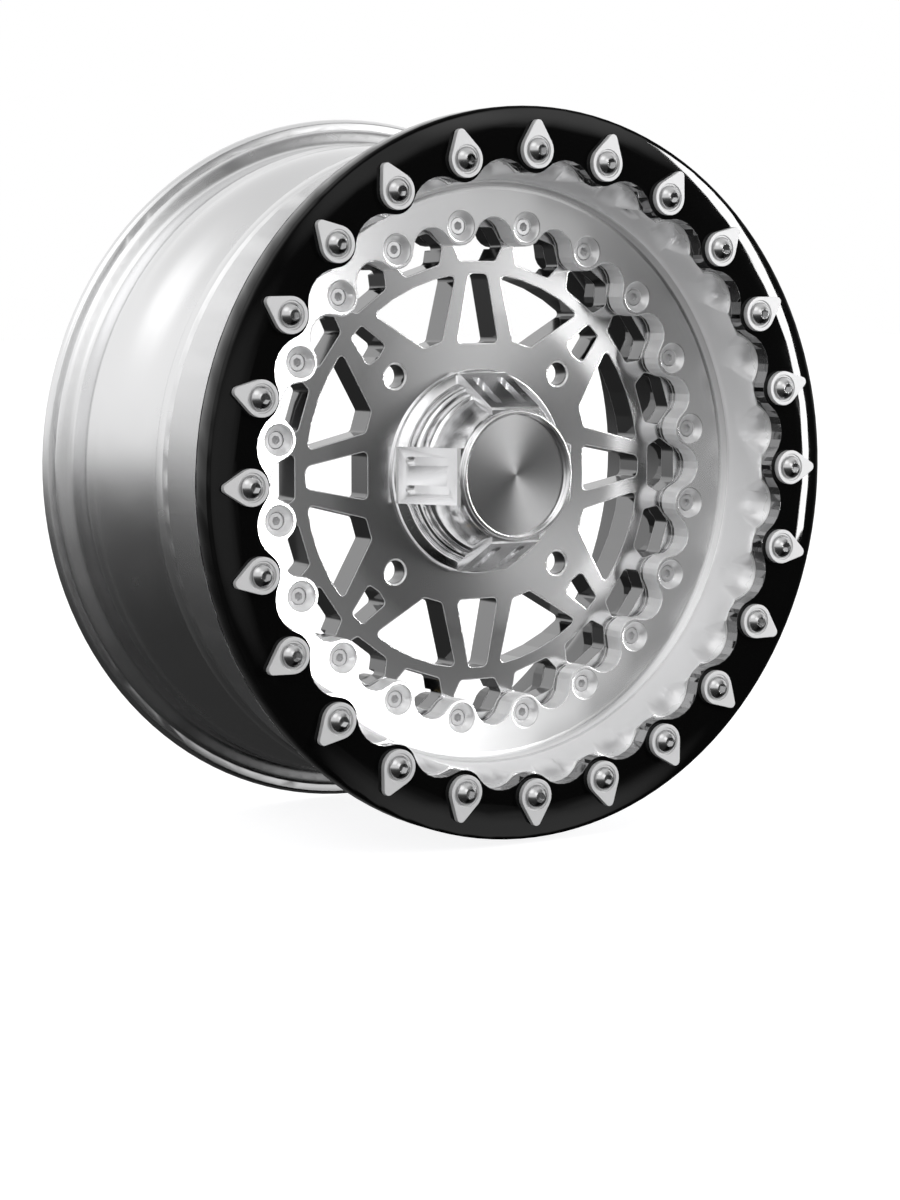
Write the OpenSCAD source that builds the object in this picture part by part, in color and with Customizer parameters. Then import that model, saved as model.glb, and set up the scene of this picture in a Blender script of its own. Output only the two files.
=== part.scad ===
// Two-piece bead-lock wheel with a machined centre disc held between the rim halves.
// Drawn flat with the front face up, then turned so that the axle runs along Y and the front faces -Y.
// The origin is the centre of the hub bore on the rear mounting face. Lengths are in millimetres.

/* [Wheel] */
// Radius of the bead seats, which the rim's other radii follow
seat_r = 190; // [178:0.5:230]

/* [Bead-lock ring] */
// Distance from the bead seats' radius out to the ring's outer edge
ring_reach = 14; // [11:0.5:20]
// Thickness of the ring at its bolt circle
ring_t = 9.5; // [6:0.5:16]
// Height of the ring's front face ahead of the mounting face
ring_face_h = 70.5; // [40:0.5:110]
// Width of the gentle roll round the ring's front edge
ring_roll_w = 18; // [10:0.5:20]
// Drop of that roll at the outer edge
ring_roll_h = 1.9; // [0.8:0.1:4]
// Width of the lip at the ring's outer edge
ring_lip_w = 8; // [4:0.5:12]
// Depth of the lip behind the ring's back face
ring_lip_h = 4.2; // [2:0.1:8]
// Distance from the bead seats' radius in to the circle of bead-lock bolts
lock_inset = 10.4; // [8:0.1:13]
// Number of bead-lock bolts
lock_count = 24; // [12:1:36]
// Radius of the ring's lobe round each bolt
lock_lobe_r = 12.5; // [9:0.5:16]
// Distance from the bolt circle in to the bottom of the ring's scallops
lock_valley_in = 3.6; // [1:0.1:7]

/* [Bead-lock bolts and washers] */
// Radius of a bolt's shank
lock_bolt_r = 4; // [3:0.5:6]
// Radius of a bolt's button head
lock_head_r = 6.8; // [5:0.1:10]
// Height of the button head
lock_head_h = 4.4; // [3:0.1:7]
// Length of the shank under the head
lock_bolt_len = 30; // [20:1:40]
// Width across the flats of the hex socket
lock_key_w = 5; // [3:0.5:8]
// Depth of the hex socket
lock_key_depth = 2.6; // [1:0.1:4]
// Radius of the washer's round end
drop_big_r = 10; // [7:0.5:14]
// Radius of the washer's pointed end
drop_small_r = 2.8; // [1:0.1:5]
// Distance from the bolt to the centre of the pointed end
drop_reach = 14; // [8:0.5:20]
// Thickness of the washer
drop_t = 3.4; // [2:0.1:6]
// Radius of the shallow seat for the bolt's head
drop_seat_r = 7.8; // [6:0.1:11]
// Depth of that seat
drop_seat_depth = 0.6; // [0.2:0.1:1.5]
// Outer radius of a threaded insert
insert_r = 6; // [5:0.1:9]
// Length of a threaded insert
insert_len = 19; // [10:1:24]
// Depth of the blind hole that holds the insert
insert_hole_depth = 22; // [15:1:26]

/* [Outer rim half] */
// Height of the flange's front face ahead of the mounting face
flange_face_h = 29.1; // [27:0.1:45]
// Thickness of the flange
flange_t = 14; // [10:0.5:16]
// Distance that the dish wall closes in from the ring down to its fillet
dish_draft = 1.4; // [0.5:0.1:3]
// Fillet between the dish wall and the flange
dish_fillet_r = 6; // [2:0.5:12]
// Radius of each scoop in the dish wall
scoop_r = 17; // [10:0.5:24]
// Slant of the scoops from the axle's direction in degrees
scoop_slant = 28; // [10:1:45]
// Thickness of that lip
rim_lip_t = 2.8; // [1.5:0.1:6]
// Width of the relief groove behind the bead seat
relief_w = 10; // [5:0.5:14]
// Depth of the relief groove
relief_depth = 31; // [10:1:40]
// Thickness of the skirt that laps over the inner half
skirt_t = 4; // [2.5:0.1:7]
// Length of the skirt
skirt_len = 11; // [5:0.5:16]

/* [Inner rim half] */
// Distance from the mounting face back to the rear edge
rear_depth = 130.8; // [80:0.5:200]
// Distance from the bead seats' radius out to the rear flange's edge
rear_reach = 16.9; // [12:0.1:30]
// Thickness of the rear flange
rear_flange_t = 4; // [3:0.5:8]
// Distance from the bead seats' radius in to the drop centre
drop_in = 20; // [15:0.5:22]
// Thickness of the barrel's wall
barrel_t = 6.5; // [4:0.5:10]
// Height of the ridge beside the bead seat
hump_h = 1.3; // [0.5:0.1:3]
// Thickness of the inner half's flange
back_flange_t = 9.5; // [6:0.5:14]
// Height of the face where the rim halves meet
meet_h = 4.5; // [1:0.5:10]
// Distance from the assembly bolt circle out to the pocket that centres the disc
pocket_out = 12.5; // [11:0.1:14]
// Distance from that pocket out to the middle of the sealing ring
seal_out = 9.2; // [5:0.1:10]
// Thickness of the sealing ring
seal_d = 3.2; // [2:0.1:5]

/* [Assembly bolts] */
// Distance from the dish wall in to the circle of assembly bolts
join_inset = 25.2; // [22:0.1:28]
// Number of assembly bolts
join_count = 20; // [10:1:30]
// Radius of the flange's lobe round each bolt
join_lobe_r = 11; // [8:0.5:14]
// Distance from the bolt circle out to the bottom of the flange's scallops
join_valley_out = 3.45; // [2:0.05:6]
// Radius of the sunk cone at the flange's face
join_cone_r = 8.5; // [6:0.1:12]
// Depth of the cone
join_cone_depth = 3.6; // [2:0.1:6]
// Radius of the bolt's head
join_head_r = 4.5; // [3.5:0.1:8]
// Height of the bolt's head
join_head_h = 6; // [3:0.5:8]
// Radius of the bolt's shank
join_bolt_r = 3; // [2.5:0.5:5]
// Width across the flats of the hex socket
join_key_w = 4.4; // [3:0.1:6]
// Depth of the hex socket
join_key_depth = 2.6; // [1:0.1:4]
// Width across the flats of a nut
join_nut_w = 10; // [8:0.5:16]
// Height of a nut
join_nut_h = 6; // [4:0.5:10]
// Radius of the plain washer under a nut
join_washer_r = 6.3; // [5:0.1:10]
// Thickness of the plain washer
join_washer_t = 1.5; // [1:0.1:3]

/* [Centre disc] */
// Height of the disc's front face above the mounting face
disc_t = 12; // [8:0.5:14.5]
// Set back of the land behind the flange's scalloped edge
land_inset = 1; // [0.5:0.1:3]
// Height of the raised rear side behind the mounting face
rear_band_h = 6; // [2:0.5:9]
// Clearance between the raised rear side and the inner half's flange
rear_band_gap = 1.8; // [0.5:0.1:4]
// Radius of the recess in the rear side for the vehicle's hub
recess_r = 68; // [62:0.5:70]
// Radius of the recess round each lug hole
recess_lug_r = 14; // [9:0.5:14]
// Distance from the assembly bolt circle in to the spoke windows
window_inset = 27.8; // [26:0.1:32]
// Distance from the lug circle in to the start of the spoke windows
spoke_inset = 4.7; // [3:0.1:6]
// Radius at the corners of the windows
window_corner_r = 2.6; // [1:0.1:4]
// Radius of the hub bore
hub_bore_r = 55; // [50:0.5:55]
// Radius of the circle of lug holes
lug_circle_r = 78; // [76:0.5:80]
// Radius of a lug hole
lug_hole_r = 6.5; // [5:0.1:9]
// Width of the chamfer round each lug hole
lug_chamfer = 0.9; // [0.3:0.1:2]

/* [Centre cap] */
// Radius of the cap's base
cap_base_r = 58.5; // [45:0.5:64]
// Height of the cap's bezel above the disc's front face
cap_h = 43; // [25:0.5:60]
// Outer radius of the bezel
bezel_r = 36.5; // [25:0.5:45]
// Width of the bezel's front edge
bezel_w = 2.3; // [1:0.1:4]
// Depth of the insert below the bezel's front edge
bezel_depth = 3; // [1:0.1:6]
// Thickness of the round insert
insert_plate_t = 2; // [1:0.1:4]
// Wall thickness of the cap
cap_t = 3.4; // [2:0.1:6]
// Width of each raised pad
pad_w = 32; // [20:1:40]
// Distance between a pad's two slots, centre to centre
slot_gap = 16; // [8:0.5:20]
// Width of a slot
slot_w = 5.2; // [2:0.1:8]
// Depth of a slot
slot_depth = 4.8; // [3:0.1:5]
// Depth of the cap's spigot in the disc
spigot_depth = 4; // [2:0.5:6]
// Width of the shoulder that the spigot leaves in the bore
spigot_step = 1.2; // [0.8:0.1:3]
// Thickness of the cap's sealing ring
cap_seal_d = 1.9; // [1.5:0.1:2.4]

/* [Valve] */
// Direction of the valve round the axle in degrees
valve_angle = 250; // [0:5:355]
// Depth of the valve behind the mounting face
valve_depth = 48; // [40:1:56]
// Radius of the valve hole
valve_hole_r = 5.7; // [4:0.1:8]
// Radius of the valve's stem
valve_stem_r = 4.1; // [3:0.1:6]
// Length of the stem inside the barrel
valve_len = 21; // [15:1:30]
// Radius of the valve's base
valve_base_r = 8.4; // [7:0.1:10]
// Thickness of the valve's base
valve_base_t = 3; // [2:0.5:5]
// Thickness of the rubber seal under the base
valve_seal_t = 2; // [1:0.1:3]
// Radius of the air passage
valve_air_r = 1.8; // [1:0.1:2.6]
// Width across the flats of the valve's nut
valve_nut_w = 13; // [10:0.5:18]
// Height of the valve's nut
valve_nut_h = 4.5; // [3:0.5:8]
// Thickness of the valve's washer
valve_washer_t = 1.2; // [0.8:0.1:2]
// Radius of the dust cap
valve_cap_r = 5.2; // [4.5:0.1:8]
// Length of the dust cap
valve_cap_len = 10; // [6:0.5:14]

/* [Fits] */
// Clearance all round a bolt or between centred parts
clear = 0.3; // [0.1:0.05:0.6]
// Small clearance of a thread or a pressed part
snug = 0.05; // [0.02:0.01:0.2]
// Gap between the ring's lip and the rim's lip
lip_gap = 0.5; // [0.2:0.1:2]

/* [Hidden] */
ROUND = 96;
SMALL = 32;
ARC_STEPS = 7;
CORNER_STEPS = 4;
BLEND_STEPS = 14;

// Heights above the mounting face
ring_back_h = ring_face_h - ring_t;
rim_step_h = ring_back_h - ring_lip_h;
flange_back_h = flange_face_h - flange_t;
skirt_end_h = meet_h - skirt_len;
cap_top_h = disc_t + cap_h;

// Height of the disc's bolting land, which fills the gap to the flange
land_h = flange_back_h - disc_t;

// Angles of the bolts
lock_step = 360 / lock_count;
join_step = 360 / join_count;
join_turn = join_step / 2;

// Radii of the rim, which all follow the bead seats
ring_r = seat_r + ring_reach;
rim_lip_r = ring_r - lip_gap;
rear_flange_r = seat_r + rear_reach;
drop_centre_r = seat_r - drop_in;
lock_circle_r = seat_r - lock_inset;
lock_valley_r = lock_circle_r - lock_valley_in;
dish_front_r = lock_circle_r - lock_lobe_r + clear;
dish_wall_r = dish_front_r - dish_draft;

// Radii of the disc and its fastening, which follow the dish wall
join_circle_r = dish_wall_r - join_inset;
join_valley_r = join_circle_r + join_valley_out;
pocket_r = join_circle_r + pocket_out;
seal_mean_r = pocket_r + seal_out;
rear_band_r = join_circle_r - join_lobe_r - rear_band_gap;
window_r = join_circle_r - window_inset;
spoke_r = lug_circle_r - spoke_inset;

// Radii that come from the fits
disc_r = pocket_r - clear;
skirt_in_r = seat_r - skirt_t;
spigot_out_r = skirt_in_r - clear;
cap_spigot_r = hub_bore_r + spigot_step - snug;
insert_plate_r = bezel_r - bezel_w - snug;

// The disc's windows and lug holes and the cap's pads repeat this many times
QUARTERS = 4;
quarter = 360 / QUARTERS;

// Window outlines as [degrees from the window's axis, share of the way from its inner to its outer radius]
window_a_share = [[-10.583, 0.032], [10.583, 0.032], [3.068, 0.999], [-3.068, 0.999]];
window_a_corner_share = [1, 1, 1.4, 1.4];
window_b_share = [
    [7.626, 1],
    [17.974, 0.1212],
    [26.985, 0.1521],
    [37.531, 1],
    [30, 1],
    [22.5, 1],
    [15, 1]
];
window_b_corner_share = [1, 1.1, 0.9, 0.9, 0, 0, 0];
window_c_share = [
    [-5.567, 0.272],
    [5.567, 0.272],
    [7.216, 0.6014],
    [3.95, 0.9507],
    [-3.95, 0.9507],
    [-7.216, 0.6014]
];
window_c_corner_share = [1, 1, 0.8, 1.2, 1.2, 0.8];
window_d_share = [[-4.829, 0.5476], [0, 0.5013], [4.829, 0.5476], [2.423, 1.015], [-2.423, 1.015]];
window_d_corner_share = [1, 1, 1, 0.7, 0.7];

// Cap outline in shares: first of the base radius, second of the cap's height
cap_outer_share = [
    [1, 0],
    [1, 0.04],
    [0.985, 0.07],
    [0.95, 0.085],
    [0.915, 0.1],
    [0.89, 0.135],
    [0.88, 0.18],
    [0.875, 0.24],
    [0.862, 0.27],
    [0.84, 0.285],
    [0.82, 0.33],
    [0.806, 0.42],
    [0.8, 0.44],
    [0.77, 0.455],
    [0.745, 0.5],
    [0.715, 0.58],
    [0.69, 0.66],
    [0.664, 0.78],
    [0.65, 0.88],
    [0.645, 0.93],
    [0.6, 0.93]
];
pad_share = [[0.6, 0.05], [0.97, 0.08], [0.965, 0.13], [0.655, 0.9], [0.63, 0.93], [0.5, 0.93]];
slot_start_share = 0.2;
slot_end_share = 0.86;

function unit(v) = v / norm(v);

function arc_points(c, r, a0, a1, n) =
    [for (i = [0:n]) c + r * [cos(a0 + (a1 - a0) * i / n), sin(a0 + (a1 - a0) * i / n)]];

// One rounded corner of an outline; a zero radius keeps the point
function corner(p0, p1, p2, r) =
    r <= 0 ? [p1] :
    let (
        a = unit(p0 - p1),
        b = unit(p2 - p1),
        half = acos(a * b) / 2,
        c = p1 + unit(a + b) * r / sin(half),
        s = p1 + a * r / tan(half),
        e = p1 + b * r / tan(half),
        a0 = atan2(s[1] - c[1], s[0] - c[0]),
        a1 = atan2(e[1] - c[1], e[0] - c[0]),
        turn = ((a1 - a0 + 540) % 360) - 180
    )
    arc_points(c, r, a0, a0 + turn, CORNER_STEPS);

function rounded(points, radii) =
    let (n = len(points))
    [
        for (i = [0:n - 1])
            each corner(points[(i + n - 1) % n], points[i], points[(i + 1) % n], radii[i])
    ];

// Smooth step between two radii along the axle, listed as [radius, height]
function blend(r0, h0, r1, h1) =
    [
        for (i = [0:BLEND_STEPS])
            let (t = i / BLEND_STEPS)
            [r0 + (r1 - r0) * (1 - cos(180 * t)) / 2, h0 + (h1 - h0) * t]
    ];

// Centre radius of the scallop that is tangent to the lobes on both sides
function valley_centre(bolt_r, lobe_r, valley_r, half) =
    ((lobe_r + valley_r) * (lobe_r + valley_r) - bolt_r * bolt_r)
    / (2 * (lobe_r + valley_r - bolt_r * cos(half)));

// Scalloped edge of lobes round the bolts and hollows between them
function wave(bolt_r, lobe_r, valley_r, count, turn) =
    let (
        half = 180 / count,
        vc = valley_centre(bolt_r, lobe_r, valley_r, half),
        vr = valley_r - vc,
        phi = atan2(vc * sin(half), vc * cos(half) - bolt_r)
    )
    [
        for (k = [0:count - 1])
            let (
                a = turn + k * 360 / count,
                lobe = arc_points(
                    [bolt_r * cos(a), bolt_r * sin(a)], lobe_r,
                    a + 360 - phi, a + phi, ARC_STEPS
                ),
                hollow = arc_points(
                    [vc * cos(a + half), vc * sin(a + half)], vr,
                    a + phi - 180, a + 2 * half + 180 - phi, ARC_STEPS
                )
            )
            each concat([for (i = [0:ARC_STEPS - 1]) lobe[i]], [for (i = [0:ARC_STEPS - 1]) hollow[i]])
    ];

module on_axle() {
    rotate([90, 0, 0])
        children();
}

module around(count, turn, radius) {
    for (k = [0:count - 1])
        rotate([0, 0, turn + k * 360 / count])
            translate([radius, 0, 0])
                children();
}

module beadlock_ring() {
    roll_r = (ring_roll_w * ring_roll_w + ring_roll_h * ring_roll_h) / (2 * ring_roll_h);
    color([0.02, 0.02, 0.025])
        on_axle()
            difference() {
                rotate_extrude($fn = ROUND * 2)
                    polygon(concat(
                        [
                            [dish_wall_r - lock_lobe_r, ring_back_h],
                            [dish_wall_r - lock_lobe_r, ring_face_h]
                        ],
                        arc_points(
                            [ring_r - ring_roll_w, ring_face_h - roll_r],
                            roll_r, 90, 90 - asin(ring_roll_w / roll_r), ARC_STEPS
                        ),
                        [
                            [ring_r, rim_step_h],
                            [ring_r - ring_lip_w, rim_step_h],
                            [ring_r - ring_lip_w, ring_back_h]
                        ]
                    ));
                translate([0, 0, ring_back_h - ring_t])
                    linear_extrude(ring_t * 3)
                        polygon(wave(lock_circle_r, lock_lobe_r, lock_valley_r, lock_count, 0));
                around(lock_count, 0, lock_circle_r)
                    translate([0, 0, ring_back_h - ring_t])
                        cylinder(r = lock_bolt_r + clear, h = ring_t * 3, $fn = SMALL);
            }
}

module scoop() {
    // The scoop's outermost line meets the front face at the ring's scallop
    translate([lock_valley_r - scoop_r / cos(scoop_slant), 0, ring_back_h])
        rotate([0, scoop_slant, 0])
            translate([0, 0, -scoop_r * 1.2])
                cylinder(r = scoop_r, h = scoop_r * 3.2, $fn = ROUND);
}

module outer_rim_half() {
    wave_in_r = join_circle_r - join_lobe_r * 2;
    color([0.86, 0.86, 0.87])
        on_axle()
            difference() {
                rotate_extrude($fn = ROUND * 2)
                    polygon(concat(
                        [
                            [wave_in_r, flange_back_h],
                            [pocket_r, flange_back_h],
                            [pocket_r, meet_h],
                            [skirt_in_r - skirt_t / 2 - relief_w, meet_h],
                            [skirt_in_r - skirt_t / 2 - relief_w, meet_h + relief_depth],
                            [skirt_in_r - skirt_t / 2, meet_h + relief_depth],
                            [skirt_in_r - skirt_t / 2, meet_h],
                            [skirt_in_r, meet_h],
                            [skirt_in_r, skirt_end_h],
                            [seat_r - skirt_t / 2, skirt_end_h],
                            [seat_r, skirt_end_h + skirt_t / 2]
                        ],
                        blend(
                            seat_r, rim_step_h - rim_lip_t * 3,
                            rim_lip_r - rim_lip_t, rim_step_h - rim_lip_t * 1.4
                        ),
                        [
                            [rim_lip_r - lip_gap, rim_step_h - rim_lip_t],
                            [rim_lip_r, rim_step_h - rim_lip_t + lip_gap],
                            [rim_lip_r, rim_step_h - lip_gap * 2],
                            [rim_lip_r - lip_gap, rim_step_h - lip_gap],
                            [ring_r - ring_lip_w - lip_gap, rim_step_h - lip_gap],
                            [ring_r - ring_lip_w - lip_gap, ring_back_h],
                            [dish_front_r, ring_back_h]
                        ],
                        arc_points(
                            [dish_wall_r - dish_fillet_r, flange_face_h + dish_fillet_r],
                            dish_fillet_r, 0, -90, ARC_STEPS
                        ),
                        [[wave_in_r, flange_face_h]]
                    ));
                translate([0, 0, flange_back_h - flange_t])
                    linear_extrude(flange_t * 3)
                        polygon(wave(join_circle_r, join_lobe_r, join_valley_r, join_count, join_turn));
                around(lock_count, lock_step / 2, 0)
                    scoop();
                around(lock_count, 0, lock_circle_r)
                    translate([0, 0, ring_back_h - insert_hole_depth])
                        cylinder(r = insert_r + snug, h = insert_hole_depth + ring_t, $fn = SMALL);
                around(join_count, join_turn, join_circle_r) {
                    translate([0, 0, flange_back_h - flange_t])
                        cylinder(r = join_bolt_r + clear, h = flange_t * 3, $fn = SMALL);
                    translate([0, 0, flange_face_h - join_cone_depth - join_head_h])
                        cylinder(r = join_head_r + clear / 2, h = flange_t, $fn = SMALL);
                    translate([0, 0, flange_face_h - join_cone_depth])
                        cylinder(
                            r1 = join_head_r + clear / 2,
                            r2 = join_cone_r,
                            h = join_cone_depth,
                            $fn = SMALL
                        );
                    translate([0, 0, flange_face_h])
                        cylinder(r = join_cone_r, h = join_cone_depth, $fn = SMALL);
                }
            }
}

module inner_rim_half() {
    wave_in_r = join_circle_r - join_lobe_r * 2;
    hump_r = seat_r + hump_h / 2;
    groove_end_h = skirt_end_h - skirt_t * 1.6;
    hump_end_h = groove_end_h - skirt_t * 0.8;
    drop_front_h = hump_end_h - (seat_r - drop_centre_r);
    seat_end_h = -rear_depth + rear_flange_t * 2.4;
    ridge_end_h = seat_end_h + rear_flange_t * 3.3;
    ridge_start_h = ridge_end_h + rear_flange_t * 2;
    drop_rear_h = ridge_start_h + (seat_r - drop_centre_r) * 2.1;
    face_h = -rear_depth + rear_flange_t;
    edge_w = rear_flange_t * 1.6;
    color([0.84, 0.84, 0.85])
        on_axle()
            difference() {
                rotate_extrude($fn = ROUND * 2)
                    polygon(concat(
                        [
                            [wave_in_r, 0],
                            [pocket_r, 0],
                            [pocket_r, meet_h],
                            [spigot_out_r, meet_h],
                            [spigot_out_r, skirt_end_h - skirt_t * 0.8],
                            [hump_r - hump_h, groove_end_h + hump_h]
                        ],
                        blend(hump_r, hump_end_h, drop_centre_r, drop_front_h),
                        blend(drop_centre_r, drop_rear_h, seat_r, ridge_start_h),
                        [
                            [seat_r + hump_h, ridge_start_h - rear_flange_t * 0.6],
                            [seat_r + hump_h, ridge_end_h + rear_flange_t * 0.7],
                            [seat_r, ridge_end_h],
                            [seat_r + hump_h / 2, seat_end_h]
                        ],
                        blend(
                            seat_r + hump_h, seat_end_h - hump_h,
                            rear_flange_r - edge_w, face_h
                        ),
                        arc_points(
                            [rear_flange_r - rear_flange_t, -rear_depth],
                            rear_flange_t, 70, 0, ARC_STEPS
                        ),
                        blend(
                            rear_flange_r - edge_w * 1.4, -rear_depth,
                            seat_r - barrel_t, seat_end_h + rear_flange_t
                        ),
                        blend(
                            seat_r - barrel_t, ridge_start_h,
                            drop_centre_r - barrel_t, drop_rear_h
                        ),
                        arc_points(
                            [drop_centre_r - barrel_t - dish_fillet_r, -back_flange_t - dish_fillet_r],
                            dish_fillet_r, 0, 90, ARC_STEPS
                        ),
                        [[wave_in_r, -back_flange_t]]
                    ));
                translate([0, 0, -back_flange_t * 2])
                    linear_extrude(back_flange_t * 4)
                        polygon(wave(join_circle_r, join_lobe_r, join_valley_r, join_count, join_turn));
                around(join_count, join_turn, join_circle_r)
                    translate([0, 0, -back_flange_t * 2])
                        cylinder(r = join_bolt_r + clear, h = back_flange_t * 4, $fn = SMALL);
                rotate_extrude($fn = ROUND * 2)
                    translate([seal_mean_r, meet_h])
                        square([seal_d + clear * 2, seal_d * 2], center = true);
                rotate([0, 0, valve_angle])
                    translate([0, 0, -valve_depth])
                        rotate([0, 90, 0]) {
                            cylinder(r = valve_hole_r, h = ring_r, $fn = SMALL);
                            cylinder(
                                r = valve_base_r + clear * 3,
                                h = drop_centre_r - barrel_t + clear,
                                $fn = SMALL
                            );
                            translate([0, 0, drop_centre_r - clear * 2])
                                cylinder(r = valve_base_r + clear * 3, h = barrel_t, $fn = SMALL);
                        }
            }
}

module rim_seal() {
    color([0.05, 0.05, 0.05])
        on_axle()
            rotate_extrude($fn = ROUND * 2)
                translate([seal_mean_r, meet_h - seal_d / 2])
                    circle(d = seal_d - snug, $fn = SMALL);
}

function polar(p, r0, r1) =
    let (r = r0 + p[1] * (r1 - r0))
    [r * sin(p[0]), r * cos(p[0])];

module window(share, corner_share, r0, r1) {
    translate([0, 0, -disc_t])
        linear_extrude(disc_t * 3)
            polygon(rounded(
                [for (p = share) polar(p, r0, r1)],
                [for (c = corner_share) c * window_corner_r]
            ));
}

module centre_disc() {
    color([0.6, 0.6, 0.61])
        on_axle()
            difference() {
                union() {
                    cylinder(r = disc_r, h = disc_t, $fn = ROUND * 2);
                    translate([0, 0, -rear_band_h])
                        difference() {
                            cylinder(r = rear_band_r, h = rear_band_h, $fn = ROUND * 2);
                            translate([0, 0, -rear_band_h]) {
                                cylinder(r = recess_r, h = rear_band_h * 3, $fn = ROUND);
                                around(QUARTERS, quarter / 2, lug_circle_r)
                                    cylinder(r = recess_lug_r, h = rear_band_h * 3, $fn = ROUND);
                            }
                        }
                    translate([0, 0, disc_t])
                        difference() {
                            cylinder(r = disc_r, h = land_h, $fn = ROUND * 2);
                            translate([0, 0, -land_h])
                                linear_extrude(land_h * 3)
                                    polygon(wave(
                                        join_circle_r, join_lobe_r - land_inset,
                                        join_valley_r + land_inset, join_count, join_turn
                                    ));
                        }
                }
                for (k = [0:QUARTERS - 1])
                    rotate([0, 0, k * quarter]) {
                        window(window_a_share, window_a_corner_share, spoke_r, window_r);
                        window(window_b_share, window_b_corner_share, spoke_r, window_r);
                        mirror([1, 0, 0])
                            window(window_b_share, window_b_corner_share, spoke_r, window_r);
                        rotate([0, 0, quarter / 2])
                            window(window_d_share, window_d_corner_share, spoke_r, window_r);
                    }
                for (k = [0:join_count - 1])
                    rotate([0, 0, k * join_step])
                        window(window_c_share, window_c_corner_share, window_r, join_circle_r);
                around(join_count, join_turn, join_circle_r)
                    translate([0, 0, -disc_t])
                        cylinder(r = join_bolt_r + clear, h = disc_t * 4, $fn = SMALL);
                around(QUARTERS, quarter / 2, lug_circle_r) {
                    translate([0, 0, -disc_t])
                        cylinder(r = lug_hole_r, h = disc_t * 3, $fn = SMALL);
                    translate([0, 0, disc_t - lug_chamfer])
                        cylinder(
                            r1 = lug_hole_r,
                            r2 = lug_hole_r + lug_chamfer * 2,
                            h = lug_chamfer * 2,
                            $fn = SMALL
                        );
                }
                translate([0, 0, -disc_t])
                    cylinder(r = hub_bore_r, h = disc_t * 3, $fn = ROUND);
                translate([0, 0, disc_t - spigot_depth])
                    cylinder(r = hub_bore_r + spigot_step, h = disc_t, $fn = ROUND);
            }
}

module beadlock_bolts() {
    dome_r = (lock_head_r * lock_head_r + lock_head_h * lock_head_h) / (2 * lock_head_h);
    seat_h = ring_face_h + drop_t - drop_seat_depth;
    color([0.7, 0.7, 0.71])
        on_axle()
            around(lock_count, 0, lock_circle_r)
                translate([0, 0, seat_h])
                    difference() {
                        union() {
                            intersection() {
                                cylinder(r = lock_head_r, h = lock_head_h, $fn = SMALL);
                                translate([0, 0, lock_head_h - dome_r + drop_seat_depth])
                                    sphere(r = dome_r, $fn = SMALL * 2);
                            }
                            translate([0, 0, -lock_bolt_len])
                                cylinder(r = lock_bolt_r, h = lock_bolt_len, $fn = SMALL);
                        }
                        translate([0, 0, lock_head_h - lock_key_depth])
                            cylinder(d = lock_key_w / cos(30), h = lock_head_h, $fn = 6);
                    }
}

module teardrop_washers() {
    lean = asin((drop_big_r - drop_small_r) / drop_reach);
    color([0.75, 0.75, 0.76])
        on_axle()
            around(lock_count, 0, lock_circle_r)
                translate([0, 0, ring_face_h])
                    difference() {
                        linear_extrude(drop_t)
                            polygon(concat(
                                arc_points([0, 0], drop_big_r, 90 - lean, 270 + lean, ARC_STEPS * 3),
                                arc_points([drop_reach, 0], drop_small_r, lean - 90, 90 - lean, ARC_STEPS)
                            ));
                        translate([0, 0, -drop_t])
                            cylinder(r = lock_bolt_r + clear, h = drop_t * 3, $fn = SMALL);
                        translate([0, 0, drop_t - drop_seat_depth])
                            cylinder(r = drop_seat_r, h = drop_t, $fn = SMALL);
                    }
}

module threaded_inserts() {
    color([0.55, 0.5, 0.4])
        on_axle()
            around(lock_count, 0, lock_circle_r)
                translate([0, 0, ring_back_h - insert_len])
                    difference() {
                        cylinder(r = insert_r, h = insert_len, $fn = SMALL);
                        translate([0, 0, -insert_len])
                            cylinder(r = lock_bolt_r + snug, h = insert_len * 3, $fn = SMALL);
                    }
}

module assembly_bolts() {
    top_h = flange_face_h - join_cone_depth;
    shank_end_h = -back_flange_t - join_washer_t - join_nut_h * 1.3;
    color([0.72, 0.72, 0.73])
        on_axle()
            around(join_count, join_turn, join_circle_r)
                difference() {
                    union() {
                        translate([0, 0, top_h - join_head_h])
                            cylinder(r = join_head_r, h = join_head_h, $fn = SMALL);
                        translate([0, 0, shank_end_h])
                            cylinder(r = join_bolt_r, h = top_h - join_head_h - shank_end_h, $fn = SMALL);
                    }
                    translate([0, 0, top_h - join_key_depth])
                        cylinder(d = join_key_w / cos(30), h = join_head_h, $fn = 6);
                }
}

module assembly_washers() {
    color([0.7, 0.7, 0.7])
        on_axle()
            around(join_count, join_turn, join_circle_r)
                translate([0, 0, -back_flange_t - join_washer_t])
                    difference() {
                        cylinder(r = join_washer_r, h = join_washer_t, $fn = SMALL);
                        translate([0, 0, -join_washer_t])
                            cylinder(r = join_bolt_r + clear, h = join_washer_t * 3, $fn = SMALL);
                    }
}

module assembly_nuts() {
    color([0.68, 0.68, 0.69])
        on_axle()
            around(join_count, join_turn, join_circle_r)
                translate([0, 0, -back_flange_t - join_washer_t - join_nut_h])
                    difference() {
                        cylinder(d = join_nut_w / cos(30), h = join_nut_h, $fn = 6);
                        translate([0, 0, -join_nut_h])
                            cylinder(r = join_bolt_r + snug, h = join_nut_h * 3, $fn = SMALL);
                    }
}

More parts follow.
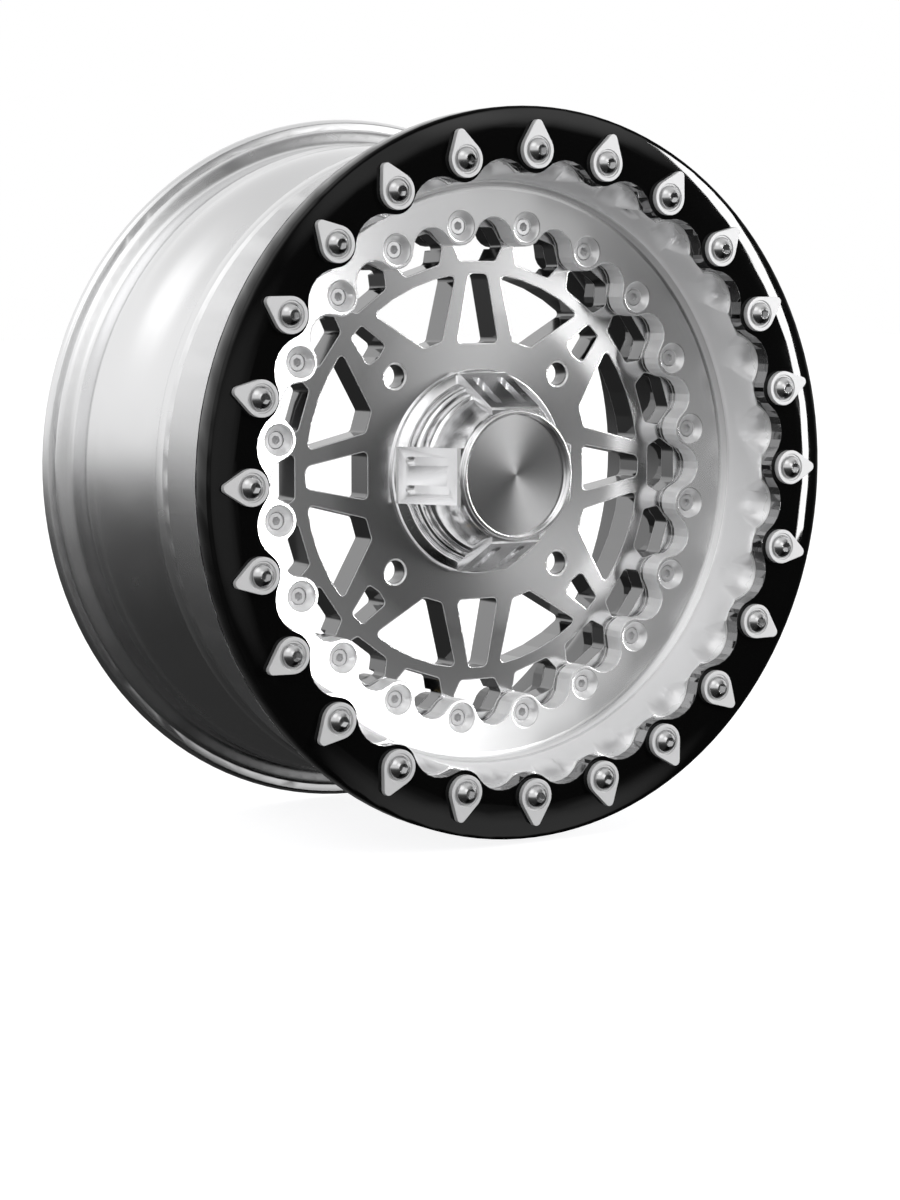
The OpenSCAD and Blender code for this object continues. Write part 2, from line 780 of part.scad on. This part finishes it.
module cap_slot() {
    // A slot with round ends, cut from outside the pad inward
    length = cap_h * (slot_end_share - slot_start_share);
    outline = concat(
        arc_points([0, length / 2 - slot_w / 2], slot_w / 2, 0, 180, ARC_STEPS),
        arc_points([0, slot_w / 2 - length / 2], slot_w / 2, 180, 360, ARC_STEPS)
    );
    foot = pad_share[2];
    top = pad_share[3];
    lean = atan2(cap_base_r * (foot[0] - top[0]), cap_h * (top[1] - foot[1]));
    mid_r = cap_base_r * (foot[0] + top[0]) / 2;
    mid_h = disc_t + cap_h * (foot[1] + top[1]) / 2;
    translate([mid_r, 0, mid_h])
        rotate([0, -lean, 0])
            translate([-slot_depth, 0, 0])
                rotate([90, 0, 90])
                    linear_extrude(slot_depth * 2)
                        polygon(outline);
}

module cap_body() {
    inner_base_r = hub_bore_r - cap_t / 2;
    neck_r = bezel_r - bezel_w - cap_t / 2;
    roof_h = cap_top_h - bezel_depth - insert_plate_t;
    color([0.9, 0.9, 0.91])
        on_axle()
            difference() {
                union() {
                    rotate_extrude($fn = ROUND)
                        polygon(concat(
                            [[0, disc_t]],
                            [for (p = cap_outer_share) [p[0] * cap_base_r, disc_t + p[1] * cap_h]],
                            [[0, disc_t + cap_h * cap_outer_share[len(cap_outer_share) - 1][1]]]
                        ));
                    for (k = [0:QUARTERS - 1])
                        rotate([0, 0, k * quarter])
                            translate([0, pad_w / 2, 0])
                                rotate([90, 0, 0])
                                    linear_extrude(pad_w)
                                        polygon([
                                            for (p = pad_share) [p[0] * cap_base_r, disc_t + p[1] * cap_h]
                                        ]);
                    translate([0, 0, disc_t - spigot_depth + snug])
                        cylinder(r = cap_spigot_r, h = spigot_depth - snug, $fn = ROUND);
                }
                rotate_extrude($fn = ROUND)
                    polygon([
                        [0, -disc_t],
                        [inner_base_r, -disc_t],
                        [inner_base_r, disc_t],
                        [inner_base_r - cap_t / 2, disc_t + cap_t],
                        [neck_r - cap_t / 2, roof_h - cap_t],
                        [neck_r - cap_t, roof_h - cap_t * 0.7],
                        [0, roof_h - cap_t * 0.7]
                    ]);
                translate([0, 0, roof_h])
                    cylinder(r = bezel_r - bezel_w, h = cap_h, $fn = ROUND);
                translate([0, 0, roof_h + insert_plate_t / 2])
                    cylinder(r = bezel_r + snug, h = cap_h, $fn = ROUND);
                rotate_extrude($fn = ROUND)
                    translate([cap_spigot_r, disc_t - spigot_depth / 2])
                        square([(cap_seal_d + snug) * 2, cap_seal_d + snug * 2], center = true);
                for (k = [0:QUARTERS - 1])
                    rotate([0, 0, k * quarter])
                        for (side = [-1, 1])
                            translate([0, side * slot_gap / 2, 0])
                                cap_slot();
            }
}

module cap_bezel() {
    low_h = cap_top_h - bezel_depth - insert_plate_t / 2;
    edge = bezel_w / 3;
    color([0.93, 0.93, 0.94])
        on_axle()
            rotate_extrude($fn = ROUND)
                polygon([
                    [bezel_r - bezel_w, low_h],
                    [bezel_r, low_h],
                    [bezel_r, cap_top_h - edge],
                    [bezel_r - edge, cap_top_h],
                    [bezel_r - bezel_w + edge / 2, cap_top_h],
                    [bezel_r - bezel_w, cap_top_h - edge / 2]
                ]);
}

module cap_insert() {
    color([0.62, 0.62, 0.63])
        on_axle()
            translate([0, 0, cap_top_h - bezel_depth - insert_plate_t])
                cylinder(r = insert_plate_r, h = insert_plate_t, $fn = ROUND);
}

module cap_seal() {
    color([0.05, 0.05, 0.05])
        on_axle()
            rotate_extrude($fn = ROUND)
                translate([hub_bore_r + spigot_step - cap_seal_d / 2 - snug, disc_t - spigot_depth / 2])
                    circle(d = cap_seal_d, $fn = SMALL);
}

module at_valve() {
    on_axle()
        rotate([0, 0, valve_angle])
            translate([0, 0, -valve_depth])
                rotate([0, 90, 0])
                    children();
}

// The valve is drawn along its own axis, with heights measured outward from the axle
valve_seat_r = drop_centre_r - clear * 2;
valve_inside_r = drop_centre_r - barrel_t + clear;
valve_tip_r = drop_centre_r - barrel_t - valve_len;

module valve_stem() {
    color([0.78, 0.7, 0.45])
        at_valve()
            difference() {
                union() {
                    translate([0, 0, valve_seat_r + valve_seal_t])
                        cylinder(r = valve_base_r, h = valve_base_t, $fn = SMALL);
                    translate([0, 0, valve_tip_r])
                        cylinder(
                            r = valve_stem_r,
                            h = valve_seat_r + valve_seal_t - valve_tip_r,
                            $fn = SMALL
                        );
                }
                translate([0, 0, valve_tip_r - valve_len])
                    cylinder(r = valve_air_r, h = ring_r, $fn = SMALL);
            }
}

module valve_seal() {
    color([0.06, 0.06, 0.06])
        at_valve()
            difference() {
                union() {
                    translate([0, 0, valve_seat_r])
                        cylinder(r = valve_base_r, h = valve_seal_t, $fn = SMALL);
                    translate([0, 0, valve_inside_r + clear])
                        cylinder(r = valve_hole_r - snug, h = valve_seat_r - valve_inside_r, $fn = SMALL);
                }
                cylinder(r = valve_stem_r + snug, h = ring_r, $fn = SMALL);
            }
}

module valve_washer() {
    color([0.72, 0.72, 0.73])
        at_valve()
            translate([0, 0, valve_inside_r - valve_washer_t])
                difference() {
                    cylinder(r = valve_base_r - clear, h = valve_washer_t, $fn = SMALL);
                    translate([0, 0, -valve_washer_t])
                        cylinder(r = valve_stem_r + clear, h = valve_washer_t * 3, $fn = SMALL);
                }
}

module valve_nut() {
    color([0.8, 0.72, 0.48])
        at_valve()
            translate([0, 0, valve_inside_r - valve_washer_t - valve_nut_h])
                difference() {
                    cylinder(d = valve_nut_w / cos(30), h = valve_nut_h, $fn = 6);
                    translate([0, 0, -valve_nut_h])
                        cylinder(r = valve_stem_r + snug, h = valve_nut_h * 3, $fn = SMALL);
                }
}

module valve_core() {
    core_len = valve_len * 0.7;
    color([0.82, 0.74, 0.5])
        at_valve()
            translate([0, 0, valve_tip_r + valve_cap_len * 0.1]) {
                cylinder(r = valve_air_r - snug, h = core_len * 0.4, $fn = SMALL);
                translate([0, 0, core_len * 0.4])
                    cylinder(r = valve_air_r / 2, h = core_len * 0.6, $fn = SMALL);
            }
}

module valve_cap() {
    cap_wall = valve_cap_r - valve_stem_r;
    color([0.04, 0.04, 0.04])
        at_valve()
            translate([0, 0, valve_tip_r - cap_wall - clear])
                difference() {
                    cylinder(r = valve_cap_r, h = valve_cap_len, $fn = SMALL);
                    translate([0, 0, cap_wall])
                        cylinder(r = valve_stem_r + snug, h = valve_cap_len, $fn = SMALL);
                }
}

beadlock_ring();
beadlock_bolts();
teardrop_washers();
threaded_inserts();
outer_rim_half();
centre_disc();
inner_rim_half();
rim_seal();
assembly_bolts();
assembly_washers();
assembly_nuts();
cap_body();
cap_bezel();
cap_insert();
cap_seal();
valve_stem();
valve_seal();
valve_washer();
valve_nut();
valve_core();
valve_cap();
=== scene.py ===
# The looks of a bead-lock wheel: camera, studio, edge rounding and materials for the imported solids.
import math

import bpy
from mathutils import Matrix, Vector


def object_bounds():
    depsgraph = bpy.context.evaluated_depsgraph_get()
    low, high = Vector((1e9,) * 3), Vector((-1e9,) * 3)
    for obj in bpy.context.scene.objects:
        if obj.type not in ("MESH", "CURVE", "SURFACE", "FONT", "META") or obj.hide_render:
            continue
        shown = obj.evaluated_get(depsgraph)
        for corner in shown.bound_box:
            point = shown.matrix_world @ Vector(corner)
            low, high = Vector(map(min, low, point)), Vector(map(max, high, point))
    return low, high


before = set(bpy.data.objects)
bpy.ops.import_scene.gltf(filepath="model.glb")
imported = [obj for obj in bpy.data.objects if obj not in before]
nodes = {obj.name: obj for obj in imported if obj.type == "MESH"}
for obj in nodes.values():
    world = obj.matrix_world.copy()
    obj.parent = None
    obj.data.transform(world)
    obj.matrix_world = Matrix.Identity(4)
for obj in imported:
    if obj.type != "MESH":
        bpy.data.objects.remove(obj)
cad_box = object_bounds()

# Camera, fitted to the circles of the photographed wheel. Lengths are in metres, angles in degrees
CAMERA_PLACE = (-0.89414, -1.40286, 0.09596)
CAMERA_YAW = -32.1865
CAMERA_PITCH = -5.870
CAMERA_LENS = 86.58
CAMERA_REACH = 50
SENSOR = 36.0

# The floor, a little below the wheel's lowest point
FLOOR_GAP = 0.0003
FLOOR_SIZE = 40.0
FLOOR_GLOW = 0.86
FLOOR_TONE = 0.34

# Brightness of the studio's walls by height: the sine of the elevation, then the strength
WALL_STOPS = (
    (-0.7, 0.03),
    (-0.3, 0.07),
    (-0.13, 0.16),
    (0.0, 0.62),
    (0.1, 0.92),
    (0.65, 0.95),
    (1.0, 0.7),
)
# A dark curtain hangs ahead of the wheel: its middle, its half width inside and with its soft edge,
# and the share of light that it lets through
CURTAIN_AZIMUTH = 38
CURTAIN_INSIDE = 20
CURTAIN_OUTSIDE = 48
CURTAIN_LEFT = 0.02
# The curtain ends below the ceiling: the sines of the elevations where it thins and where it is gone
CURTAIN_THIN = 0.55
CURTAIN_GONE = 0.9
# Soft round cards: azimuth, elevation, inner and outer radius, strength
CARDS = (
    (24, 17, 3, 11, 0.8),
    (38, 23, 4, 14, 1.4),
    (14, -3, 3, 12, 0.45),
    (34, -26, 5, 16, 0.85),
    (-12, 26, 6, 18, 0.6),
    (-60, 48, 6, 26, 0.6),
)
# The strip light that shows in the ring's rolled edge
STRIP_AZIMUTH = 50.5
STRIP_ELEVATION = 8
STRIP_DISTANCE = 2.6
STRIP_WIDTH = 0.28
STRIP_HEIGHT = 1.35
STRIP_POWER = 37

# How wide each solid's edges are rounded, and in how many steps
EDGES = {
    "beadlock_ring": (0.0005, 2),
    "outer_rim_half": (0.0008, 2),
    "centre_disc": (0.0005, 2),
    "inner_rim_half": (0.0006, 2),
    "teardrop_washers": (0.0015, 4),
    "beadlock_bolts": (0.0003, 2),
    "assembly_bolts": (0.0002, 2),
    "assembly_nuts": (0.0003, 2),
    "cap_body": (0.0008, 3),
    "cap_bezel": (0.0003, 2),
}
# Solids whose edges keep their full width where short edges meet
UNCLAMPED = ("outer_rim_half",)
# The angle between faces from which an edge is rounded
EDGE_ANGLE = 32
# Points this near are joined first, and faces this nearly level are made one
WELD_GAP = 0.000005
LEVEL_ANGLE = 0.5

# Turning marks per metre, and the share by which they change the roughness
TURNING = 500.0
TURNING_SHARE = 0.01
# How far a broken edge scatters the light instead of mirroring it
EDGE_PAINT = 0.6
# How much the walls of the ring's scallops mirror
RING_WALL_TONE = 0.3
# A surface is a wall below the first of these and a face above the second: how far it looks along the
# axle. Between the last two it goes over from a broken edge to a face
WALL_BELOW = 0.35
FACE_ABOVE = 0.6
BROKEN_BELOW = 0.93
WHOLE_ABOVE = 0.985
# A face leans in full above the second of these, and over this distance from where the lean begins
LEAN_BELOW = 0.9
LEAN_ABOVE = 0.99
LEAN_RUN = 0.014
# A surface looks to the axle below the first of these, and doesn't above the second
INSIDE_BELOW = -0.5
OUTSIDE_ABOVE = -0.05
# The values between which most of a noise texture lies
NOISE_LOW = 0.3
NOISE_HIGH = 0.7
# Rays by which the shading rounds an edge
BEVEL_SAMPLES = 6
# Every grey is very slightly blue
BLUE = 1.006


def add_camera():
    data = bpy.data.cameras.new("camera")
    data.sensor_width = SENSOR
    data.sensor_height = SENSOR
    data.sensor_fit = "AUTO"
    data.lens = CAMERA_LENS
    data.clip_end = CAMERA_REACH
    camera = bpy.data.objects.new("camera", data)
    camera.location = CAMERA_PLACE
    camera.rotation_euler = (math.radians(90 + CAMERA_PITCH), 0, math.radians(CAMERA_YAW))
    bpy.context.scene.collection.objects.link(camera)
    bpy.context.scene.camera = camera


def direction(azimuth, elevation):
    """A unit vector towards a place round the wheel: azimuth 0 is ahead of the front face, 90 its right."""
    a = math.radians(azimuth)
    e = math.radians(elevation)
    return (math.sin(a) * math.cos(e), -math.cos(a) * math.cos(e), math.sin(e))


def grey(value):
    return (value, value, value * BLUE, 1.0)


class Graph:
    """A short way to write the shader nodes of a material or the world."""

    def __init__(self, tree):
        self.tree = tree

    def add(self, kind, **settings):
        node = self.tree.nodes.new("ShaderNode" + kind)
        for key, value in settings.items():
            if key in node.inputs:
                node.inputs[key].default_value = value
            else:
                setattr(node, key, value)
        return node

    def feed(self, value, socket):
        """Links a socket to a socket, or sets a plain value on it."""
        if hasattr(value, "node"):
            self.tree.links.new(value, socket)
        else:
            socket.default_value = value

    def math(self, operation, *values):
        node = self.add("Math", operation=operation)
        for value, socket in zip(values, node.inputs):
            self.feed(value, socket)
        return node.outputs[0]

    def vector(self, operation, *values, output="Vector"):
        node = self.add("VectorMath", operation=operation)
        for value, socket in zip(values, node.inputs):
            self.feed(value, socket)
        return node.outputs[output]

    def ramp(self, value, low, high, to_low, to_high, smooth=False):
        node = self.add("MapRange", interpolation_type="SMOOTHSTEP" if smooth else "LINEAR")
        for number, socket in zip((value, low, high, to_low, to_high), node.inputs):
            self.feed(number, socket)
        return node.outputs[0]

    def parts(self, vector):
        node = self.add("SeparateXYZ")
        self.feed(vector, node.inputs[0])
        return node.outputs

    def joined(self, x, y, z):
        node = self.add("CombineXYZ")
        for value, socket in zip((x, y, z), node.inputs):
            self.feed(value, socket)
        return node.outputs[0]

    def place(self):
        """A point's place on the solid, which has its axle along y."""
        return self.add("TexCoord").outputs["Object"]

    def from_axle(self):
        """The way from the axle straight out to a point, and its length."""
        way = self.vector("MULTIPLY", self.place(), (1.0, 0.0, 1.0))
        return way, self.vector("LENGTH", way, output="Value")

    def ahead(self, surface):
        """How far a surface looks along the axle, forwards or backwards."""
        return self.math("ABSOLUTE", self.parts(surface)[1])

    def wall(self, surface):
        """1 on walls, which look across the axle, and 0 on faces."""
        return self.ramp(self.ahead(surface), WALL_BELOW, FACE_ABOVE, 1.0, 0.0)

    def inside(self, surface):
        """1 where a surface looks to the axle, 0 where it looks away or along it."""
        way, radius = self.from_axle()
        outward = self.vector("DOT_PRODUCT", surface, way, output="Value")
        return self.ramp(self.math("DIVIDE", outward, radius), INSIDE_BELOW, OUTSIDE_ABOVE, 1.0, 0.0)

    def noise(self, scale, detail=2.0, path=None):
        node = self.add("TexNoise", Scale=scale, Detail=detail)
        self.feed(path or self.place(), node.inputs["Vector"])
        return node.outputs[0]


class Metal(Graph):
    """A material's graph round its one Principled shader."""

    def __init__(self, name):
        self.material = bpy.data.materials.new(name)
        self.material.use_nodes = True
        super().__init__(self.material.node_tree)
        self.shader = self.tree.nodes["Principled BSDF"]

    def set(self, **values):
        for key, value in values.items():
            self.feed(value, self.shader.inputs[key.replace("_", " ")])

    def surface(self):
        """The way that the surface looks."""
        return self.add("NewGeometry").outputs["Normal"]

    def grey_ramp(self, value, low, high):
        """A colour that goes from one grey to another."""
        mix = self.add("Mix", data_type="RGBA")
        factor, first, second, mixed = mix.inputs[0], mix.inputs[6], mix.inputs[7], mix.outputs[2]
        self.feed(value, factor)
        first.default_value = grey(low)
        second.default_value = grey(high)
        return mixed

    def rough(self, roughness, noise, share):
        """Sets a roughness that a noise moves up and down by a share of itself."""
        factor = self.ramp(noise, NOISE_LOW, NOISE_HIGH, 1 - share, 1 + share)
        self.set(Roughness=self.math("MULTIPLY", roughness, factor))

    def bump(self, height, strength, distance):
        node = self.add("Bump", Strength=strength, Distance=distance)
        self.feed(height, node.inputs["Height"])
        self.set(Normal=node.outputs[0])


def gloss_black():
    """Black paint, with bare bright walls where the scallops look to the axle."""
    m = Metal("gloss_black")
    surface = m.surface()
    bare = m.math("MULTIPLY", m.wall(surface), m.inside(surface))
    m.set(Base_Color=m.grey_ramp(bare, 0.003, RING_WALL_TONE), Metallic=bare, IOR=1.39)
    m.rough(0.04, m.noise(60.0), share=0.3)
    return m.material


def leaning(m, surface, lean, lean_from):
    """Faces whose reflections lean in by some degrees, or out below zero, from a radius on."""
    way, radius = m.from_axle()
    face = m.ramp(m.ahead(surface), LEAN_BELOW, LEAN_ABOVE, 0.0, 1.0)
    begun = m.ramp(radius, lean_from, lean_from + LEAN_RUN, 0.0, 1.0, smooth=True)
    amount = m.math("MULTIPLY", m.math("MULTIPLY", face, begun), -math.tan(math.radians(lean)))
    outward = m.vector("NORMALIZE", way)
    scaled = m.vector("MULTIPLY", outward, m.joined(amount, amount, amount))
    return m.vector("NORMALIZE", m.vector("ADD", surface, scaled))


def turned(name, tone, roughness, wall_tone, wall_roughness, anisotropy=0.0,
           wall_paint=0.0, inner_walls=False, lean=0.0, lean_from=0.0, edge_width=0.0):
    """Turned aluminium: fine marks round the axle, and walls with their own tone, roughness and paint.

    Paint is the share of light that is scattered instead of mirrored. With inner_walls, only walls that
    look to the axle get the wall tone. A wall tone darker than the face is painted shade. An edge_width
    makes the shading round the edges."""
    m = Metal(name)
    if edge_width:
        surface = m.add("Bevel", samples=BEVEL_SAMPLES, Radius=edge_width).outputs[0]
    else:
        surface = m.surface()
    wall = m.wall(surface)
    face = m.math("SUBTRACT", 1.0, wall)
    if inner_walls:
        wall = m.math("MULTIPLY", wall, m.inside(surface))
    edge = m.math("MULTIPLY", face, m.ramp(m.ahead(surface), BROKEN_BELOW, WHOLE_ABOVE, 1.0, 0.0))
    paint = m.math("MAXIMUM", m.math("MULTIPLY", wall, wall_paint), m.math("MULTIPLY", edge, EDGE_PAINT))
    m.set(Metallic=m.math("SUBTRACT", 1.0, paint), Anisotropic=anisotropy)
    # The walls' grey: on the disc it is far darker than the face, as painted shade inside the windows.
    m.set(Base_Color=m.grey_ramp(wall, tone, wall_tone))
    m.set(Tangent=m.add("Tangent", direction_type="RADIAL", axis="Y").outputs[0])
    radius = m.from_axle()[1]
    along = m.parts(m.place())[1]
    marks = m.joined(m.math("MULTIPLY", radius, TURNING), m.math("MULTIPLY", along, TURNING), 0.0)
    m.rough(m.ramp(wall, 0.0, 1.0, roughness, wall_roughness), m.noise(1.0, 1.0, marks), TURNING_SHARE)
    if lean:
        m.set(Normal=leaning(m, surface, lean, lean_from))
    elif edge_width:
        m.set(Normal=surface)
    return m.material


def rim_front():
    return turned("rim_front", tone=0.84, roughness=0.27, wall_tone=0.95, wall_roughness=0.35,
                  wall_paint=0.85, inner_walls=True, lean=11, lean_from=0.08)


def disc_grey():
    # The windows' walls are nearly mirror-smooth, and their dark wall tone is painted shade inside the
    # windows.
    return turned("disc_grey", tone=0.97, roughness=0.2, wall_tone=0.26, wall_roughness=0.08,
                  anisotropy=0.5, lean=-2.2, lean_from=0.086, edge_width=0.0009)


def insert_satin():
    return turned("insert_satin", tone=0.95, roughness=0.2, wall_tone=0.8, wall_roughness=0.2,
                  anisotropy=0.6)


def polished(name, tone, roughness):
    m = Metal(name)
    m.set(Metallic=1.0, Base_Color=grey(tone))
    m.rough(roughness, m.noise(40.0), share=0.2)
    return m.material


def rim_rear():
    """The rear half's barrel: smooth and pale outside, and darker inside as painted shade."""
    m = Metal("rim_rear")
    # Where the barrel looks to the axle its grey drops from 0.86 to 0.16: painted shade inside the barrel.
    m.set(Metallic=1.0, Base_Color=m.grey_ramp(m.inside(m.surface()), 0.86, 0.16))
    m.rough(0.25, m.noise(40.0), share=0.1)
    return m.material


def satin(name, tone, roughness, paint=0.0):
    m = Metal(name)
    m.set(Metallic=1.0 - paint, Base_Color=grey(tone))
    grain = m.noise(2500.0, detail=1.0)
    m.rough(roughness, grain, share=0.1)
    m.bump(grain, strength=0.04, distance=0.00001)
    return m.material


def brass():
    m = Metal("valve_brass")
    m.set(Metallic=1.0, Base_Color=(0.78, 0.62, 0.34, 1.0))
    m.rough(0.26, m.noise(300.0), share=0.3)
    return m.material


def dull_black(name, roughness):
    m = Metal(name)
    m.set(Base_Color=grey(0.02))
    grain = m.noise(1200.0)
    m.rough(roughness, grain, share=0.1)
    m.bump(grain, strength=0.2, distance=0.00003)
    return m.material


def dress(names, material):
    """Gives solids their material."""
    for name in names:
        data = nodes[name].data
        data.materials.clear()
        data.materials.append(material)


def dress_wheel():
    dress(["beadlock_ring"], gloss_black())
    dress(["outer_rim_half"], rim_front())
    dress(["inner_rim_half"], rim_rear())
    dress(["centre_disc"], disc_grey())
    dress(["cap_insert"], insert_satin())
    dress(["teardrop_washers"], satin("washer_silver", tone=0.68, roughness=0.5, paint=0.7))
    dress(["threaded_inserts"], satin("insert_steel", tone=0.5, roughness=0.35))
    dress(["cap_body", "cap_bezel"], polished("cap_chrome", tone=0.95, roughness=0.2))
    dress(["beadlock_bolts"], polished("bolt_dark", tone=0.62, roughness=0.2))
    dress(["assembly_bolts"], satin("bolt_pale", tone=0.72, roughness=0.4, paint=0.6))
    steel = ["assembly_washers", "assembly_nuts", "valve_washer"]
    dress(steel, polished("bolt_steel", tone=0.85, roughness=0.23))
    dress(["valve_stem", "valve_nut", "valve_core"], brass())
    dress(["rim_seal", "cap_seal", "valve_seal"], dull_black("seal_rubber", roughness=0.8))
    dress(["valve_cap"], dull_black("cap_plastic", roughness=0.5))


def round_edges(name, width, steps):
    """Rounds a solid's sharp edges a little, as a deburred or cast edge is."""
    solid = nodes[name]
    weld = solid.modifiers.new("weld", "WELD")
    weld.merge_threshold = WELD_GAP
    level = solid.modifiers.new("flat", "DECIMATE")
    level.decimate_type = "DISSOLVE"
    level.angle_limit = math.radians(LEVEL_ANGLE)
    bevel = solid.modifiers.new("bevel", "BEVEL")
    bevel.limit_method = "ANGLE"
    bevel.angle_limit = math.radians(EDGE_ANGLE)
    bevel.width = width
    bevel.segments = steps
    bevel.harden_normals = True
    bevel.use_clamp_overlap = name not in UNCLAMPED


def add_floor():
    """A pale floor, nearly white to the camera, that keeps a faint shadow and stays out of the metal."""
    lowest = cad_box[0][2] - FLOOR_GAP
    bpy.ops.mesh.primitive_plane_add(size=FLOOR_SIZE, location=(0, 0, lowest))
    floor = bpy.context.object
    floor.name = "floor"
    m = Metal("floor_white")
    m.set(Base_Color=grey(FLOOR_TONE), Roughness=0.9, Specular_IOR_Level=0.0, Emission_Color=grey(1.0))
    m.set(Emission_Strength=m.math("MULTIPLY", m.add("LightPath").outputs["Is Camera Ray"], FLOOR_GLOW))
    floor.data.materials.append(m.material)
    floor.visible_glossy = False


def add_world():
    """A studio, bright behind and above, dark below and ahead, and white wherever the camera looks."""
    world = bpy.data.worlds.new("studio")
    bpy.context.scene.world = world
    world.use_nodes = True
    g = Graph(world.node_tree)
    g.tree.nodes.clear()
    way = g.add("TexCoord").outputs["Generated"]
    height = g.parts(way)[2]
    walls = g.add("ValToRGB")
    g.feed(g.ramp(height, -1.0, 1.0, 0.0, 1.0), walls.inputs[0])
    stops = walls.color_ramp.elements
    while len(stops) < len(WALL_STOPS):
        stops.new(0.5)
    for stop, (sine, strength) in zip(stops, WALL_STOPS):
        stop.position = (sine + 1) / 2
        stop.color = (strength, strength, strength, 1)
    level = g.vector("NORMALIZE", g.vector("MULTIPLY", way, (1, 1, 0)))
    facing = g.vector("DOT_PRODUCT", level, direction(CURTAIN_AZIMUTH, 0), output="Value")
    inside, outside = (math.cos(math.radians(a)) for a in (CURTAIN_INSIDE, CURTAIN_OUTSIDE))
    curtain = g.ramp(facing, outside, inside, 0.0, 1.0 - CURTAIN_LEFT, smooth=True)
    drop = g.ramp(height, CURTAIN_THIN, CURTAIN_GONE, 1.0, 0.0, smooth=True)
    open_wall = g.math("SUBTRACT", 1.0, g.math("MULTIPLY", curtain, drop))
    light = g.math("MULTIPLY", walls.outputs[0], open_wall)
    for azimuth, elevation, inner, outer, strength in CARDS:
        near = g.vector("DOT_PRODUCT", way, direction(azimuth, elevation), output="Value")
        rim, middle = math.cos(math.radians(outer)), math.cos(math.radians(inner))
        light = g.math("ADD", light, g.ramp(near, rim, middle, 0.0, strength, smooth=True))
    seen = g.add("LightPath").outputs["Is Camera Ray"]
    background = g.add("Background", Color=(1, 1, 1, 1))
    g.feed(g.math("MAXIMUM", light, seen), background.inputs["Strength"])
    output = g.add("OutputWorld")
    g.feed(background.outputs[0], output.inputs["Surface"])


def add_strip():
    """The tall strip light at the wheel's right front."""
    data = bpy.data.lights.new("strip", "AREA")
    data.shape = "RECTANGLE"
    data.size = STRIP_WIDTH
    data.size_y = STRIP_HEIGHT
    data.energy = STRIP_POWER
    strip = bpy.data.objects.new("strip", data)
    strip.location = [STRIP_DISTANCE * c for c in direction(STRIP_AZIMUTH, STRIP_ELEVATION)]
    strip.rotation_euler = (math.radians(90 - STRIP_ELEVATION), 0, math.radians(STRIP_AZIMUTH))
    bpy.context.scene.collection.objects.link(strip)


add_camera()
dress_wheel()
for name, (width, steps) in EDGES.items():
    round_edges(name, width, steps)
add_floor()
add_world()
add_strip()

bpy.context.scene.view_settings.view_transform = "Standard"
